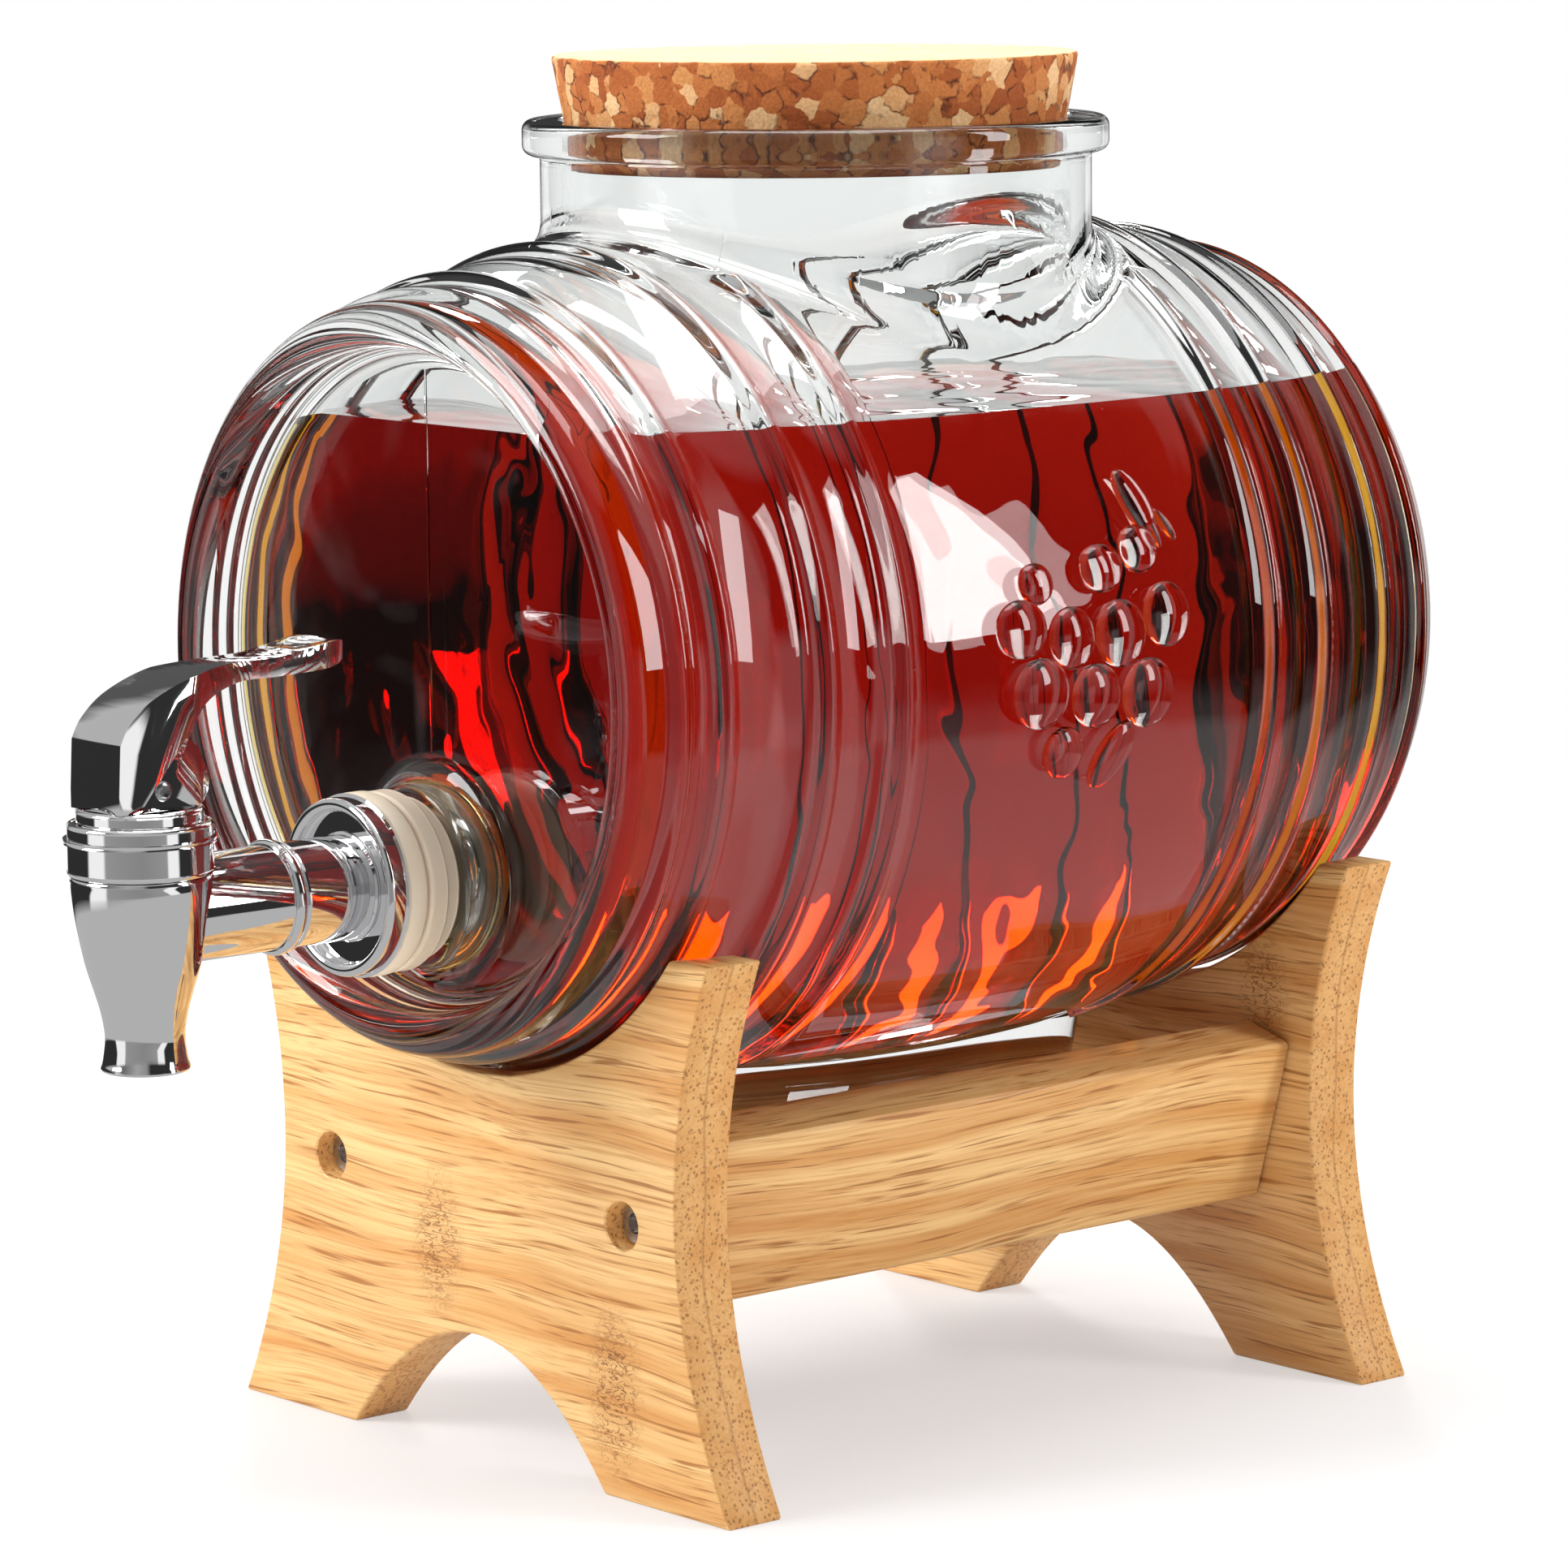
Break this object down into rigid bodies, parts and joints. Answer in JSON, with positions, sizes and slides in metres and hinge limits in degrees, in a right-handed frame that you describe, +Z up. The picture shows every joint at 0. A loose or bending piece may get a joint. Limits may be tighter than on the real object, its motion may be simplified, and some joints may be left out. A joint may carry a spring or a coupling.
{
  "type": "barrel drink dispenser",
  "caption": "Clear glass barrel on a bamboo cradle stand, with a tapered cork stopper and a chromed cam-lever spigot clamped through its front face.",
  "frame": {"origin": "on the table under the middle of the whole object's box, spigot included", "axes": "+Z up, -Y the front with the spigot, +Y along the barrel to its rear face, +X to the right seen from the front"},
  "size_m": [0.1844, 0.3128, 0.2928],
  "materials": {
    "bamboo": "sanded and oiled, satin",
    "steel": "bright",
    "beech": "raw",
    "glass": "fire-polished clear",
    "cork": "agglomerated cork, matt",
    "chromed": "bright chromed",
    "silicone": "ivory, satin",
    "acetal": "moulded white"
  },
  "bodies": {
    "stand": {"front_board": "bamboo", "rear_board": "bamboo", "rail_left": "bamboo", "rail_right": "bamboo", "screw_front_left": "steel", "screw_front_right": "steel", "screw_rear_left": "steel", "screw_rear_right": "steel", "dowel_front_left": "beech", "dowel_front_right": "beech", "dowel_rear_left": "beech", "dowel_rear_right": "beech"},
    "barrel": {"barrel_glass": "glass", "tap_body": "chromed", "shank_sleeve": "chromed", "flange_cup": "chromed", "gasket_outer": "silicone", "gasket_inner": "silicone", "rear_gasket": "silicone", "rear_washer": "steel", "lock_nut": "acetal", "tap_bonnet": "chromed", "stem_seal": "silicone", "spring": "steel"},
    "cork": {"cork_stopper": "cork"},
    "stem": {"stem": "acetal", "seat_cup": "silicone"},
    "lever": {"lever": "chromed", "lever_pin": "steel"}
  },
  "joints": [
    {"name": "barrel_lift", "type": "slide", "parent": "stand", "child": "barrel", "axis": [0, 0, 1], "range_m": [0, 0.12]},
    {"name": "cork_lift", "type": "slide", "parent": "barrel", "child": "cork", "axis": [0, 0, 1], "range_m": [0, 0.06]},
    {"name": "stem_lift", "type": "slide", "parent": "barrel", "child": "stem", "axis": [0, 0, 1], "range_m": [0, 0.003], "deforming": ["spring"]},
    {"name": "lever_tilt", "type": "hinge", "parent": "stem", "child": "lever", "pos_m": [0, -0.14165, 0.152], "axis": [-1, 0, 0], "range_deg": [0, 24], "stiffness_Nm_per_rad": 0.15, "springref_deg": -20.05}
  ],
  "couplings": [
    {"joint": "stem_lift", "follows": "lever_tilt", "m_per_rad": 0.00683}
  ]
}
